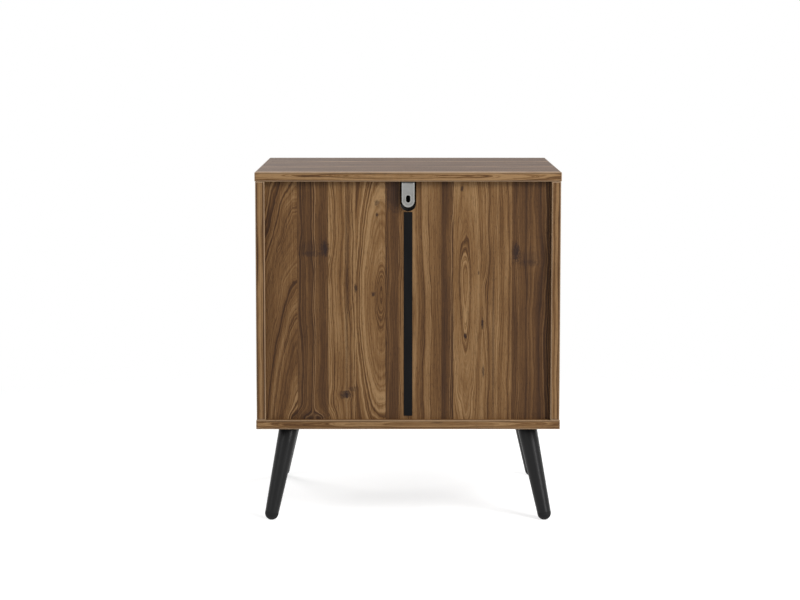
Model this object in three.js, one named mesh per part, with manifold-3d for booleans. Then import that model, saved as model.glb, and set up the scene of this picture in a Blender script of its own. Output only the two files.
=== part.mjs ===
// Bedside cabinet in walnut-faced board: two drawers on roller runners, four splayed tapered legs
// and a steel bracket that ties it to the wall. Millimetres, Z up, drawers facing -Y, floor at z = 0.
import * as THREE from 'three';
import { mergeVertices } from 'three/addons/utils/BufferGeometryUtils.js';
import { RoundedBoxGeometry } from 'three/addons/geometries/RoundedBoxGeometry.js';
import Module from 'manifold-3d';

const wasm = await Module();
wasm.setup();

// Cabinet boards
const cabinetWidth = 500;
const cabinetDepth = 450;
const cabinetHeight = 580;
const boardThickness = 15;
const sideInset = 1;
const boardArris = 1;

// Gaps between still pieces, gaps round moving ones, and how far a cutter runs past its work
const jointGap = 0.3;
const runningGap = 0.3;
const cutOverrun = 5;

// Back panel and the strip over its middle joint
const backThickness = 3;
const backRecess = 12;
const backGrooveDepth = 6;
const stripWidth = 14;
const stripThickness = 1;
const stripBelowNotch = 1;
const stripAboveBottom = 6;
const stripEdgeShare = 0.5;

// Wall bracket and the notch that it hangs in
const bracketWidth = 21;
const bracketSheet = 2;
const bracketDrop = 42;
const bracketReach = 40;
const bracketBend = 3.5;
const bracketRimWidth = 2.6;
const bracketRimHeight = 0.5;
const slotWidth = 6.8;
const slotLength = 11.2;
const slotCollar = 2.2;
const slotAboveEnd = 13.5;
const notchSideClearance = 2.5;
const notchBelowBracket = 7.5;
const bracketScrewRadius = 1.9;
const bracketScrewBite = 11;
const bracketScrewHeadRadius = 4.2;
const bracketScrewHeadHeight = 2.4;
const bracketScrewInset = 9;

// Legs, feet and the plates that carry them
const legHeight = 157;
const legTopRadius = 16;
const footRadius = 11.4;
const footFlat = 0.6;
const footCollar = 1.5;
const legTopInset = 52.5;
const footInsetAcross = 23.2;
const footInsetDeep = 30.5;
const legPlateSize = 56;
const legPlateThickness = 2.5;
const legPlateCorner = 6;
const legPlateHoleRadius = 2.3;
const legPlateHoleInset = 8;
const legPlateBossMargin = 1.5;
const hangerBoltRadius = 4;
const hangerBoltLength = 36;
const hangerBoltPoint = 5;
const hangerBoreSpare = 1;
const capSpigotRadius = 4;
const capSpigotLength = 10;

// Drawer fronts and boxes, from the lowest drawer up
const drawerNames = ['lower', 'upper'];
const frontThickness = 15;
const frontGap = 3;
const frontSetback = 1;
const drawerBoard = 12;
const drawerArris = 0.6;
const boxRaise = 15;
const boxHeadroom = 37;
const boxRearClearance = 19;
const drawerBottomThickness = 3;
const drawerBottomRaise = 8;
const drawerGrooveDepth = 5;

// Bar handles
const handlePostSpacing = 128;
const handleBarOverhang = 16;
const handleBarHeight = 10;
const handleBarThickness = 7;
const handleBarRounding = 2.5;
const handlePostLength = 22;
const handlePostRadius = 4.5;
const handlePostFootRadius = 6.5;
const handlePostFootLength = 2.5;
const handleScrewRadius = 2;
const handleScrewBite = 10;
const handleScrewHeadRadius = 4.4;
const handleScrewHeadHeight = 2.6;

// Roller runners
const runnerSpace = 12.5;
const runnerSheet = 1.2;
const runnerFrontGap = 2;
const runnerRearClearance = 17;
const runnerHold = 110;
const runnerTrackTipGap = 0.5;
const rollerRadius = 8.5;
const rollerEdge = 0.8;
const rollerPinRadius = 2.5;
const rollerPinHeadRadius = 4;
const rollerPinHead = 1;
const rollerHeadClearance = 1.9;
const frontRollerInset = 1.5;
const ledgeClearance = 0.8;
const ledgeTipClearance = 2.5;
const boxSeatAboveTrack = 4;
const boxFlangeWidth = 10;
const closedGap = 0.5;
const stopHeight = 4;
const stopLength = 8;
const stopSlopeShare = 0.6;
const runnerScrewHoleRadius = 2.2;
const runnerScrewShares = [0.12, 0.5, 0.88];

// Fineness of round stretches
const arrisSteps = 1;
const barSteps = 2;
const arcSteps = 6;
const legSides = 28;
const rollerSides = 18;
const roundSides = 16;
const holeSides = 10;
const footSteps = 5;

// Colours and surfaces
const finishes = {
  walnut: { color: 0x6b4f38, roughness: 0.5, metalness: 0 },
  drawerBoard: { color: 0x403d3b, roughness: 0.6, metalness: 0 },
  satinBlack: { color: 0x1d1d1e, roughness: 0.42, metalness: 0 },
  blackStrip: { color: 0x191919, roughness: 0.5, metalness: 0 },
  blackMetal: { color: 0x202022, roughness: 0.4, metalness: 0.4 },
  zincSteel: { color: 0x949693, roughness: 0.38, metalness: 0.8 },
  enamelledSteel: { color: 0xdcdcd8, roughness: 0.35, metalness: 0.1 },
  nylon: { color: 0xe6e4dc, roughness: 0.45, metalness: 0 },
  rubber: { color: 0x141414, roughness: 0.75, metalness: 0 },
};

// Planes and spans that several pieces share
const rearY = cabinetDepth / 2;
const innerBottom = legHeight + boardThickness;
const innerTop = cabinetHeight - boardThickness;
const innerHeight = innerTop - innerBottom;
const innerMiddle = (innerTop + innerBottom) / 2;
const innerHalfWidth = cabinetWidth / 2 - sideInset - boardThickness;
const backRearY = rearY - backRecess;
const backFrontY = backRearY - backThickness;
const notchWidth = bracketWidth + 2 * notchSideClearance;
const notchDepth = bracketDrop + notchBelowBracket;
const frontFaceY = frontSetback - rearY;
const frontBackY = frontFaceY + frontThickness;

// Solids: closed meshes in and out, with cuts and joins between
function bodyOf(geometry) {
  const bare = geometry.clone();
  bare.deleteAttribute('normal');
  bare.deleteAttribute('uv');
  const merged = mergeVertices(bare);
  const vertProperties = new Float32Array(merged.attributes.position.array);
  const triVerts = new Uint32Array(merged.index.array);
  return new wasm.Manifold(new wasm.Mesh({ numProp: 3, vertProperties, triVerts }));
}

function geometryOf(body) {
  const { vertProperties, triVerts } = body.getMesh();
  const geometry = new THREE.BufferGeometry();
  geometry.setAttribute('position', new THREE.BufferAttribute(vertProperties, 3));
  geometry.setIndex(new THREE.BufferAttribute(triVerts, 1));
  geometry.computeVertexNormals();
  return geometry;
}

function cut(geometry, ...cutters) {
  return geometryOf(cutters.reduce((body, cutter) => body.subtract(bodyOf(cutter)), bodyOf(geometry)));
}

function join(geometry, ...others) {
  return geometryOf(others.reduce((body, other) => body.add(bodyOf(other)), bodyOf(geometry)));
}

function common(geometry, other) {
  return geometryOf(bodyOf(geometry).intersect(bodyOf(other)));
}

// A plain block between two places on each axis
function block([x0, x1], [y0, y1], [z0, z1]) {
  const geometry = new THREE.BoxGeometry(Math.abs(x1 - x0), Math.abs(y1 - y0), Math.abs(z1 - z0));
  return geometry.translate((x0 + x1) / 2, (y0 + y1) / 2, (z0 + z1) / 2);
}

// A board with its edges eased
function board(width, depth, height, arris = boardArris) {
  return new RoundedBoxGeometry(width, depth, height, arrisSteps, arris);
}

// A round rod between two places on one axis
function rod(axis, radius, from, to, sides = holeSides) {
  const geometry = new THREE.CylinderGeometry(radius, radius, Math.abs(to - from), sides);
  geometry.translate(0, (from + to) / 2, 0);
  if (axis === 'x') geometry.rotateZ(-Math.PI / 2);
  if (axis === 'z') geometry.rotateX(Math.PI / 2);
  return geometry;
}

// A profile of [radius, height] points turned about Z
function turned(profile, sides) {
  const points = profile.map(([radius, height]) => new THREE.Vector2(radius, height));
  return new THREE.LatheGeometry(points, sides).rotateX(Math.PI / 2);
}

// An outline drawn in YZ and run along X, or drawn in XZ and run along Y, or drawn in XY and run along Z
const [axisX, axisY, axisZ] = [[1, 0, 0], [0, 1, 0], [0, 0, 1]].map((v) => new THREE.Vector3(...v));
const outlineFrames = {
  x: new THREE.Matrix4().makeBasis(axisY, axisZ, axisX),
  y: new THREE.Matrix4().makeBasis(axisX, axisZ, axisY.clone().negate()),
  z: new THREE.Matrix4().makeBasis(axisX, axisY, axisZ),
};

function run(axis, shape, from, to) {
  const length = Math.abs(to - from);
  const geometry = new THREE.ExtrudeGeometry(shape, {
    depth: length, bevelEnabled: false, curveSegments: arcSteps,
  });
  geometry.translate(0, 0, -length / 2).applyMatrix4(outlineFrames[axis]);
  return geometry.translate(...{ x: axisX, y: axisY, z: axisZ }[axis].clone()
    .multiplyScalar((from + to) / 2));
}

function outline(points) {
  return new THREE.Shape(points.map(([a, b]) => new THREE.Vector2(a, b)));
}

// A strap with a half-round lower end
function tongue(width, top, bottom) {
  const shape = new THREE.Shape();
  shape.moveTo(width / 2, top);
  shape.lineTo(-width / 2, top);
  shape.lineTo(-width / 2, bottom + width / 2);
  shape.absarc(0, bottom + width / 2, width / 2, Math.PI, 2 * Math.PI, false);
  shape.closePath();
  return shape;
}

// An upright slot with two half-round ends
function oblong(width, length, middle) {
  const shape = new THREE.Shape();
  const reach = (length - width) / 2;
  shape.absarc(0, middle + reach, width / 2, 0, Math.PI, false);
  shape.absarc(0, middle - reach, width / 2, Math.PI, 2 * Math.PI, false);
  shape.closePath();
  return shape;
}

// A square with rounded corners
function roundedSquare(size, corner) {
  const shape = new THREE.Shape();
  const flat = size / 2 - corner;
  [[flat, flat], [-flat, flat], [-flat, -flat], [flat, -flat]].forEach(([x, y], quarter) => {
    shape.absarc(x, y, corner, quarter * Math.PI / 2, (quarter + 1) * Math.PI / 2, false);
  });
  shape.closePath();
  return shape;
}

function piece(name, geometry, finish, x = 0, y = 0, z = 0) {
  const mesh = new THREE.Mesh(geometry, new THREE.MeshStandardMaterial(finishes[finish]));
  mesh.name = name;
  mesh.position.set(x, y, z);
  return mesh;
}

function gather(x, y, z, ...members) {
  const group = new THREE.Group();
  group.position.set(x, y, z);
  group.add(...members);
  return group;
}

// Pan-head screw: the head stands on +Z from z = 0 and the shank runs down
function screw(shankRadius, shankLength, headRadius, headHeight) {
  const dome = headHeight / 2;
  return turned([
    [0, -shankLength],
    [shankRadius / 2, -shankLength],
    [shankRadius, -shankLength + shankRadius],
    [shankRadius, 0],
    [headRadius, 0],
    [headRadius, dome],
    [headRadius - dome, headHeight],
    [0, headHeight],
  ], roundSides);
}

// Top and bottom boards, grooved for the back
const backGroove = [backFrontY - jointGap, backRearY + jointGap];
const backGrooveHalf = innerHalfWidth + backGrooveDepth;
const bracketScrewPlaces = [rearY - bracketReach + bracketScrewInset, rearY - bracketSheet
  - bracketRimHeight - bracketScrewInset];

function topPanel() {
  const under = -boardThickness / 2;
  const bores = bracketScrewPlaces.map((y) =>
    rod('z', bracketScrewRadius + runningGap, under - cutOverrun, under + bracketScrewBite
      + jointGap).translate(0, y, 0));
  return cut(
    board(cabinetWidth, cabinetDepth, boardThickness),
    block([-backGrooveHalf, backGrooveHalf], backGroove, [under - cutOverrun, under + backGrooveDepth]),
    ...bores,
  );
}

function bottomPanel() {
  const upper = boardThickness / 2;
  return cut(
    board(cabinetWidth, cabinetDepth, boardThickness),
    block([-backGrooveHalf, backGrooveHalf], backGroove, [upper - backGrooveDepth, upper + cutOverrun]),
  );
}

// A side board stands between top and bottom, its groove on the inner face
function sidePanel(side) {
  const height = innerHeight - 2 * jointGap;
  const inner = -side * boardThickness / 2;
  return cut(
    board(boardThickness, cabinetDepth, height),
    block([inner - side * cutOverrun, inner + side * backGrooveDepth], backGroove, [-height, height]),
  );
}

const sideX = innerHalfWidth + boardThickness / 2;
const carcass = gather(0, 0, 0,
  piece('top_panel', topPanel(), 'walnut', 0, 0, cabinetHeight - boardThickness / 2),
  piece('bottom_panel', bottomPanel(), 'walnut', 0, 0, legHeight + boardThickness / 2),
  piece('left_side_panel', sidePanel(-1), 'walnut', -sideX, 0, innerMiddle),
  piece('right_side_panel', sidePanel(1), 'walnut', sideX, 0, innerMiddle),
);

// The back is two thin halves that meet in the middle, with half of the bracket notch in each
const backHalfWidth = innerHalfWidth + backGrooveDepth - jointGap - jointGap / 2;
const backHalfHeight = innerHeight + 2 * (backGrooveDepth - jointGap);
const backHalfX = (backHalfWidth + jointGap) / 2;

function backHalf(side) {
  const notch = tongue(notchWidth, backHalfHeight / 2 + cutOverrun, innerHeight / 2 - notchDepth);
  return cut(
    block([-backHalfWidth / 2, backHalfWidth / 2], [-backThickness / 2, backThickness / 2],
      [-backHalfHeight / 2, backHalfHeight / 2]),
    run('y', notch, -cutOverrun, cutOverrun).translate(-side * backHalfX, 0, 0),
  );
}

function joiningStrip() {
  const half = stripWidth / 2;
  const edge = stripThickness * stripEdgeShare;
  const section = outline([
    [-half, 0], [half, 0], [half, stripThickness - edge], [half - edge, stripThickness],
    [edge - half, stripThickness], [-half, stripThickness - edge],
  ]);
  return run('z', section, innerBottom + stripAboveBottom, innerTop - notchDepth - stripBelowNotch);
}

const backY = backRearY - backThickness / 2;
const back = gather(0, 0, 0,
  piece('back_panel_left', backHalf(-1), 'walnut', -backHalfX, backY, innerMiddle),
  piece('back_panel_right', backHalf(1), 'walnut', backHalfX, backY, innerMiddle),
  piece('back_joining_strip', joiningStrip(), 'blackStrip', 0, backRearY + jointGap, 0),
);

// Wall bracket: a bent strap under the top, its hanging end rimmed and slotted for a wall screw.
// Its own frame has y = 0 in the plane of the rear edges and z = 0 at the underside of the top.
const flangeUnder = -jointGap - bracketSheet;

function wallBracket() {
  const rearFace = -bracketRimHeight;
  const frontFace = rearFace - bracketSheet;
  const section = new THREE.Shape();
  section.moveTo(-bracketReach, flangeUnder);
  section.lineTo(frontFace, flangeUnder);
  section.lineTo(frontFace, -bracketDrop);
  section.lineTo(rearFace, -bracketDrop);
  section.lineTo(rearFace, -jointGap - bracketBend);
  section.absarc(rearFace - bracketBend, -jointGap - bracketBend, bracketBend, 0, Math.PI / 2, false);
  section.lineTo(-bracketReach, -jointGap);
  section.closePath();
  const strap = common(
    run('x', section, -bracketWidth / 2, bracketWidth / 2),
    run('y', tongue(bracketWidth, cutOverrun, -bracketDrop), -bracketReach - cutOverrun, cutOverrun),
  );
  const embedded = rearFace - bracketSheet / 2;
  const rimTop = -jointGap - bracketBend;
  const innerWidth = bracketWidth - 2 * bracketRimWidth;
  const rim = cut(
    run('y', tongue(bracketWidth, rimTop, -bracketDrop), embedded, 0),
    run('y', tongue(innerWidth, rimTop + cutOverrun, bracketRimWidth - bracketDrop),
      embedded - cutOverrun, cutOverrun),
  );
  const slotMiddle = slotAboveEnd - bracketDrop;
  const collar = run('y', oblong(slotWidth + 2 * slotCollar, slotLength + 2 * slotCollar, slotMiddle),
    embedded, 0);
  const holes = bracketScrewPlaces.map((y) =>
    rod('z', bracketScrewRadius + runningGap, flangeUnder - cutOverrun, cutOverrun)
      .translate(0, y - rearY, 0));
  const slot = run('y', oblong(slotWidth, slotLength, slotMiddle), frontFace - cutOverrun, cutOverrun);
  return cut(join(strap, rim, collar), slot, ...holes);
}

const bracketScrew = () => screw(bracketScrewRadius, bracketScrewBite + bracketSheet + 2 * jointGap,
  bracketScrewHeadRadius, bracketScrewHeadHeight).rotateX(Math.PI);
const wallFixing = gather(0, 0, innerTop,
  piece('wall_bracket', wallBracket(), 'zincSteel', 0, rearY, 0),
  ...['front', 'rear'].map((place, index) => piece(`bracket_screw_${place}`, bracketScrew(),
    'zincSteel', 0, bracketScrewPlaces[index], flangeUnder - jointGap)),
);

// One leg with its plate, hanger bolt and foot cap, splayed towards its own corner.
// The leg's frame has its origin at the middle of the rounded foot and +Z up the leg's axis.
function corner(name, sideX, sideY) {
  const top = new THREE.Vector3(sideX * (cabinetWidth / 2 - legTopInset),
    sideY * (cabinetDepth / 2 - legTopInset), legHeight);
  const foot = new THREE.Vector3(sideX * (cabinetWidth / 2 - footInsetAcross),
    sideY * (cabinetDepth / 2 - footInsetDeep), footRadius - footFlat);
  const axis = top.clone().sub(foot);
  const axisLength = axis.length();
  const lean = new THREE.Quaternion().setFromUnitVectors(axisZ, axis.clone().normalize());
  const leanCos = axis.z / axisLength;
  const leanSin = Math.hypot(axis.x, axis.y) / axisLength;

  // The leg's square-cut top clears the plate at its highest edge
  const legDrop = (legPlateThickness + 2 * jointGap + legTopRadius * leanSin) / leanCos;
  const legTop = axisLength - legDrop;
  const legBottom = footCollar + jointGap;
  const boltTop = axisLength - (2 * jointGap + hangerBoltRadius * leanSin) / leanCos;
  const boltBottom = boltTop - hangerBoltLength;
  const leg = cut(
    turned([
      [0, legBottom],
      [footRadius, legBottom],
      [legTopRadius, legTop - boardArris],
      [legTopRadius - boardArris, legTop],
      [0, legTop],
    ], legSides),
    rod('z', hangerBoltRadius + runningGap, boltBottom - hangerBoreSpare, legTop + cutOverrun, roundSides),
    rod('z', capSpigotRadius + runningGap, legBottom - cutOverrun, footCollar + capSpigotLength
      + hangerBoreSpare, roundSides),
  );

  const bolt = turned([
    [0, boltBottom],
    [hangerBoltRadius, boltBottom + hangerBoltPoint],
    [hangerBoltRadius, boltTop],
    [0, boltTop],
  ], roundSides);

  const rounded = Array.from({ length: footSteps + 1 }, (_, step) => {
    const angle = (step / footSteps - 1) * Math.PI / 2;
    return [step ? footRadius * Math.cos(angle) : 0, footRadius * Math.sin(angle)];
  });
  const floor = block([-footRadius, footRadius], [-footRadius, footRadius], [-foot.z - footRadius, -foot.z])
    .applyQuaternion(lean.clone().invert());
  const cap = cut(
    turned([
      ...rounded,
      [footRadius, footCollar],
      [capSpigotRadius, footCollar],
      [capSpigotRadius, footCollar + capSpigotLength],
      [0, footCollar + capSpigotLength],
    ], legSides),
    floor,
  );

  // The plate's boss is a wedge that turns the flat flange square to the leg
  const flangeTop = -jointGap;
  const flangeBottom = flangeTop - legPlateThickness;
  const holePlace = legPlateSize / 2 - legPlateHoleInset;
  const boss = common(
    rod('z', legTopRadius - legPlateBossMargin, jointGap - legDrop, legDrop, legSides)
      .applyQuaternion(lean),
    block([-legPlateSize, legPlateSize], [-legPlateSize, legPlateSize],
      [-legPlateSize, (flangeTop + flangeBottom) / 2]),
  );
  const holes = [[-1, -1], [-1, 1], [1, -1], [1, 1]].map(([x, y]) =>
    rod('z', legPlateHoleRadius, flangeBottom - cutOverrun, flangeTop + cutOverrun)
      .translate(x * holePlace, y * holePlace, 0));
  const plate = cut(
    join(run('z', roundedSquare(legPlateSize, legPlateCorner), flangeBottom, flangeTop), boss),
    rod('z', hangerBoltRadius + runningGap, -legDrop - cutOverrun, legDrop + cutOverrun, roundSides)
      .applyQuaternion(lean),
    ...holes,
  );

  const splayed = gather(foot.x, foot.y, foot.z,
    piece(`leg_${name}`, leg, 'satinBlack'),
    piece(`foot_cap_${name}`, cap, 'rubber'),
    piece(`hanger_bolt_${name}`, bolt, 'zincSteel'),
  );
  splayed.quaternion.copy(lean);
  return gather(0, 0, 0, splayed, piece(`leg_plate_${name}`, plate, 'blackMetal', top.x, top.y, top.z));
}

const legs = gather(0, 0, 0,
  corner('front_left', -1, -1),
  corner('front_right', 1, -1),
  corner('rear_left', -1, 1),
  corner('rear_right', 1, 1),
);

// Drawer sizes that follow from the cabinet
const frontWidth = 2 * (innerHalfWidth - frontGap);
const frontHeight = (innerHeight - (drawerNames.length + 1) * frontGap) / drawerNames.length;
const boxHalfWidth = innerHalfWidth - runnerSpace;
const boxInnerHalf = boxHalfWidth - drawerBoard;
const boxHeight = frontHeight - boxRaise - boxHeadroom;
const boxFrontY = frontBackY + jointGap;
const boxRearY = backFrontY - boxRearClearance;
const boxLength = boxRearY - boxFrontY;
const boxMiddleZ = boxRaise + boxHeight / 2;
const bottomZ = boxRaise + drawerBottomRaise;
const bottomGroove = [bottomZ - jointGap, bottomZ + drawerBottomThickness + jointGap];
const bottomTongue = drawerGrooveDepth - jointGap;

// The bottom's groove, moved into the frame of the board that it is cut in
const grooveIn = (middle) => bottomGroove.map((z) => z - middle);

function drawerFront() {
  const inner = frontThickness / 2;
  const holes = [-1, 1].map((side) =>
    rod('y', handleScrewRadius + runningGap, -inner - cutOverrun, inner + cutOverrun)
      .translate(side * handlePostSpacing / 2, 0, 0));
  return cut(
    board(frontWidth, frontThickness, frontHeight),
    block([-boxInnerHalf - drawerGrooveDepth, boxInnerHalf + drawerGrooveDepth],
      [inner - drawerGrooveDepth, inner + cutOverrun], grooveIn(frontHeight / 2)),
    ...holes,
  );
}

function drawerSide(side) {
  const inner = -side * drawerBoard / 2;
  return cut(
    board(drawerBoard, boxLength, boxHeight, drawerArris),
    block([inner - side * cutOverrun, inner + side * drawerGrooveDepth], [-boxLength, boxLength],
      grooveIn(boxMiddleZ)),
  );
}

function drawerBack() {
  const width = 2 * (boxInnerHalf - jointGap);
  const inner = -drawerBoard / 2;
  return cut(
    board(width, drawerBoard, boxHeight, drawerArris),
    block([-width, width], [inner - cutOverrun, inner + drawerGrooveDepth], grooveIn(boxMiddleZ)),
  );
}

function drawerBottom() {
  const half = boxInnerHalf + bottomTongue;
  return block([-half, half], [frontBackY - bottomTongue, boxRearY - drawerBoard + bottomTongue],
    [bottomZ, bottomZ + drawerBottomThickness]);
}

// Bar handle: y = 0 is where its two posts meet the drawer front
function handle() {
  const barY = -handlePostLength - handleBarThickness / 2;
  const posts = [-1, 1].map((side) => turned([
    [0, 0],
    [handlePostFootRadius, 0],
    [handlePostRadius, handlePostFootLength],
    [handlePostRadius, -barY],
    [0, -barY],
  ], roundSides).rotateX(Math.PI / 2).translate(side * handlePostSpacing / 2, 0, 0));
  const bores = [-1, 1].map((side) =>
    rod('y', handleScrewRadius + runningGap, cutOverrun, -handleScrewBite - jointGap)
      .translate(side * handlePostSpacing / 2, 0, 0));
  const bar = new RoundedBoxGeometry(handlePostSpacing + 2 * handleBarOverhang, handleBarThickness,
    handleBarHeight, barSteps, handleBarRounding).translate(0, barY, 0);
  return cut(join(bar, ...posts), ...bores);
}

const handleScrew = () => screw(handleScrewRadius, frontThickness + handleScrewBite + jointGap,
  handleScrewHeadRadius, handleScrewHeadHeight).rotateX(-Math.PI / 2);

// Runner sizes. u is the distance in from the cabinet side, and z = 0 is the runner's lowest face.
const runnerFrontY = frontBackY + runnerFrontGap;
const runnerLength = backFrontY - runnerRearClearance - runnerFrontY;
const cabinetWebU = jointGap + runnerSheet;
const drawerWebU = runnerSpace - jointGap - runnerSheet;
const rollerWidth = drawerWebU - cabinetWebU - rollerPinHead - 2 * runningGap - rollerHeadClearance;
const trackTipU = drawerWebU - runnerTrackTipGap;
const channelHeight = 2 * (runnerSheet + runningGap + rollerRadius);
const ledgeUnderZ = channelHeight + ledgeClearance;
const boxFlangeZ = boxSeatAboveTrack - jointGap - runnerSheet;
const frontRollerU = cabinetWebU + runningGap + rollerWidth / 2;
const frontRollerY = frontRollerInset + rollerRadius;
const frontRollerZ = ledgeUnderZ - runningGap - rollerRadius;
const rearRollerU = drawerWebU - runningGap - rollerWidth / 2;
const rearStopY = runnerLength - runnerSheet;
const rearRollerY = rearStopY - closedGap - rollerRadius;
const rearRollerZ = runnerSheet + runningGap + rollerRadius;

// The drawer comes out until its roller meets the raised stop in the track
const drawerTravel = runnerLength - runnerHold;
const stopMeet = rollerRadius + runningGap;
const stopRise = stopMeet - stopHeight;
const stopRearY = rearRollerY - drawerTravel - Math.sqrt(stopMeet ** 2 - stopRise ** 2);

// A riveted axle pin with its head beyond the roller
function rollerPin(inward, fromU, toU) {
  const away = Math.sign(toU - fromU);
  return join(
    rod('x', rollerPinRadius, inward * fromU, inward * toU, roundSides),
    rod('x', rollerPinHeadRadius, inward * (toU - away * rollerPinHead), inward * toU, roundSides),
  );
}

// Cabinet rail: a C-shaped channel with its roller's pin at the front, a raised stop in the track,
// and its rear end bent shut
function cabinetRunner(inward) {
  const sheet = runnerSheet;
  const channel = outline([
    [jointGap, 0], [trackTipU, 0], [trackTipU, sheet], [cabinetWebU, sheet],
    [cabinetWebU, channelHeight - sheet], [trackTipU, channelHeight - sheet],
    [trackTipU, channelHeight], [jointGap, channelHeight],
  ].map(([u, z]) => [inward * u, z]));
  const stop = outline([
    [stopRearY, sheet / 2],
    [stopRearY, sheet + stopHeight],
    [stopRearY - stopLength * stopSlopeShare, sheet + stopHeight],
    [stopRearY - stopLength, sheet / 2],
  ]);
  const pinEnd = frontRollerU + rollerWidth / 2 + runningGap + rollerPinHead;
  const screwHoles = runnerScrewShares.map((share) =>
    rod('x', runnerScrewHoleRadius, inward * (jointGap - cutOverrun), inward * (cabinetWebU + cutOverrun))
      .translate(0, share * runnerLength, channelHeight / 2));
  return cut(
    join(
      cut(
        run('y', channel, 0, runnerLength),
        block([inward * cabinetWebU, inward * runnerSpace],
          [-cutOverrun, frontRollerY + rollerRadius + frontRollerInset],
          [channelHeight - sheet - ledgeClearance, channelHeight + cutOverrun]),
      ),
      run('x', stop, inward * cabinetWebU, inward * trackTipU),
      block([inward * cabinetWebU, inward * trackTipU], [rearStopY, runnerLength],
        [sheet / 2, channelHeight - sheet / 2]),
      rollerPin(inward, cabinetWebU - sheet / 2, pinEnd).translate(0, frontRollerY, frontRollerZ),
    ),
    ...screwHoles,
  );
}

// Drawer rail: a Z-shaped strip, its foot under the drawer side and its ledge on the front roller,
// with the other roller's pin at the rear
const drawerRunnerStart = jointGap - runnerFrontGap;
const drawerRunnerEnd = boxRearY - runnerFrontGap - runnerFrontY;

function drawerRunner(inward) {
  const sheet = runnerSheet;
  const section = outline([
    [ledgeTipClearance, ledgeUnderZ], [drawerWebU, ledgeUnderZ], [drawerWebU, boxFlangeZ],
    [runnerSpace + boxFlangeWidth, boxFlangeZ], [runnerSpace + boxFlangeWidth, boxFlangeZ + sheet],
    [drawerWebU + sheet, boxFlangeZ + sheet], [drawerWebU + sheet, ledgeUnderZ + sheet],
    [ledgeTipClearance, ledgeUnderZ + sheet],
  ].map(([u, z]) => [inward * u, z]));
  const pinEnd = rearRollerU - rollerWidth / 2 - runningGap - rollerPinHead;
  return join(
    run('y', section, drawerRunnerStart, drawerRunnerEnd),
    rollerPin(inward, drawerWebU + sheet / 2, pinEnd).translate(0, rearRollerY, rearRollerZ),
  );
}

function roller() {
  const half = rollerWidth / 2;
  const bore = rollerPinRadius + runningGap;
  return turned([
    [bore, -half],
    [rollerRadius - rollerEdge, -half],
    [rollerRadius, rollerEdge - half],
    [rollerRadius, half - rollerEdge],
    [rollerRadius - rollerEdge, half],
    [bore, half],
    [bore, -half],
  ], rollerSides).rotateY(Math.PI / 2);
}

function runnerPair(drawerName, sideName, side) {
  const inward = -side;
  const name = `${drawerName}_${sideName}`;
  return gather(side * innerHalfWidth, runnerFrontY, boxRaise - boxSeatAboveTrack,
    piece(`${name}_cabinet_runner`, cabinetRunner(inward), 'enamelledSteel'),
    piece(`${name}_cabinet_roller`, roller(), 'nylon', inward * frontRollerU, frontRollerY, frontRollerZ),
    piece(`${name}_drawer_runner`, drawerRunner(inward), 'enamelledSteel'),
    piece(`${name}_drawer_roller`, roller(), 'nylon', inward * rearRollerU, rearRollerY, rearRollerZ),
  );
}

// One drawer with its handle and both pairs of runners, standing on the front's lower edge
function drawer(name, level) {
  const boxSideX = boxHalfWidth - drawerBoard / 2;
  const boxMiddleY = (boxFrontY + boxRearY) / 2;
  return gather(0, 0, innerBottom + frontGap + level * (frontHeight + frontGap),
    piece(`${name}_drawer_front`, drawerFront(), 'walnut', 0, frontFaceY + frontThickness / 2,
      frontHeight / 2),
    piece(`${name}_drawer_left_side`, drawerSide(-1), 'drawerBoard', -boxSideX, boxMiddleY, boxMiddleZ),
    piece(`${name}_drawer_right_side`, drawerSide(1), 'drawerBoard', boxSideX, boxMiddleY, boxMiddleZ),
    piece(`${name}_drawer_back`, drawerBack(), 'drawerBoard', 0, boxRearY - drawerBoard / 2, boxMiddleZ),
    piece(`${name}_drawer_bottom`, drawerBottom(), 'drawerBoard'),
    piece(`${name}_handle`, handle(), 'blackMetal', 0, frontFaceY - jointGap, frontHeight / 2),
    ...[['left', -1], ['right', 1]].map(([place, side]) => piece(`${name}_handle_screw_${place}`,
      handleScrew(), 'zincSteel', side * handlePostSpacing / 2, frontBackY + jointGap, frontHeight / 2)),
    runnerPair(name, 'left', -1),
    runnerPair(name, 'right', 1),
  );
}

// The origin is on the floor under the middle of the whole piece, handles included
const handleReach = handlePostLength + handleBarThickness + jointGap - frontSetback;
const nightstand = gather(0, handleReach / 2, 0, carcass, back, wallFixing, legs,
  ...drawerNames.map(drawer));
nightstand.name = 'nightstand';

export default nightstand;
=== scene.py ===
import math

import bmesh
import bpy
from mathutils import Matrix, Vector


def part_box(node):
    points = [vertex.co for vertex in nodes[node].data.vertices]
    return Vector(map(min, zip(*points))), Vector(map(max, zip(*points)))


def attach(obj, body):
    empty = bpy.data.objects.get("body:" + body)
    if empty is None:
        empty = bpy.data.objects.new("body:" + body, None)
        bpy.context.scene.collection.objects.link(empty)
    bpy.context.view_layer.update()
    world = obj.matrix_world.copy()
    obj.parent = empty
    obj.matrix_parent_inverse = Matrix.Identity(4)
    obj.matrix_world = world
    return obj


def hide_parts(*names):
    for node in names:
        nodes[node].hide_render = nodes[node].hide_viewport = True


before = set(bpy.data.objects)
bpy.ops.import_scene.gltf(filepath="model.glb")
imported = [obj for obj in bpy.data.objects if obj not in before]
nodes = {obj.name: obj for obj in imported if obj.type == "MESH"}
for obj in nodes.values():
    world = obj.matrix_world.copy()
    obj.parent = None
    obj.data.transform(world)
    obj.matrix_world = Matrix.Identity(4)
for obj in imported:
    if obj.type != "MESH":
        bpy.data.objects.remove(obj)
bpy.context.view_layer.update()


# Top and bottom boards
# Particle board faced with printed walnut foil, in leaves laid side by side as veneer is. The
# edges are banded in the same print. They run over and under the sides, dowelled and cam-locked.

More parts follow.
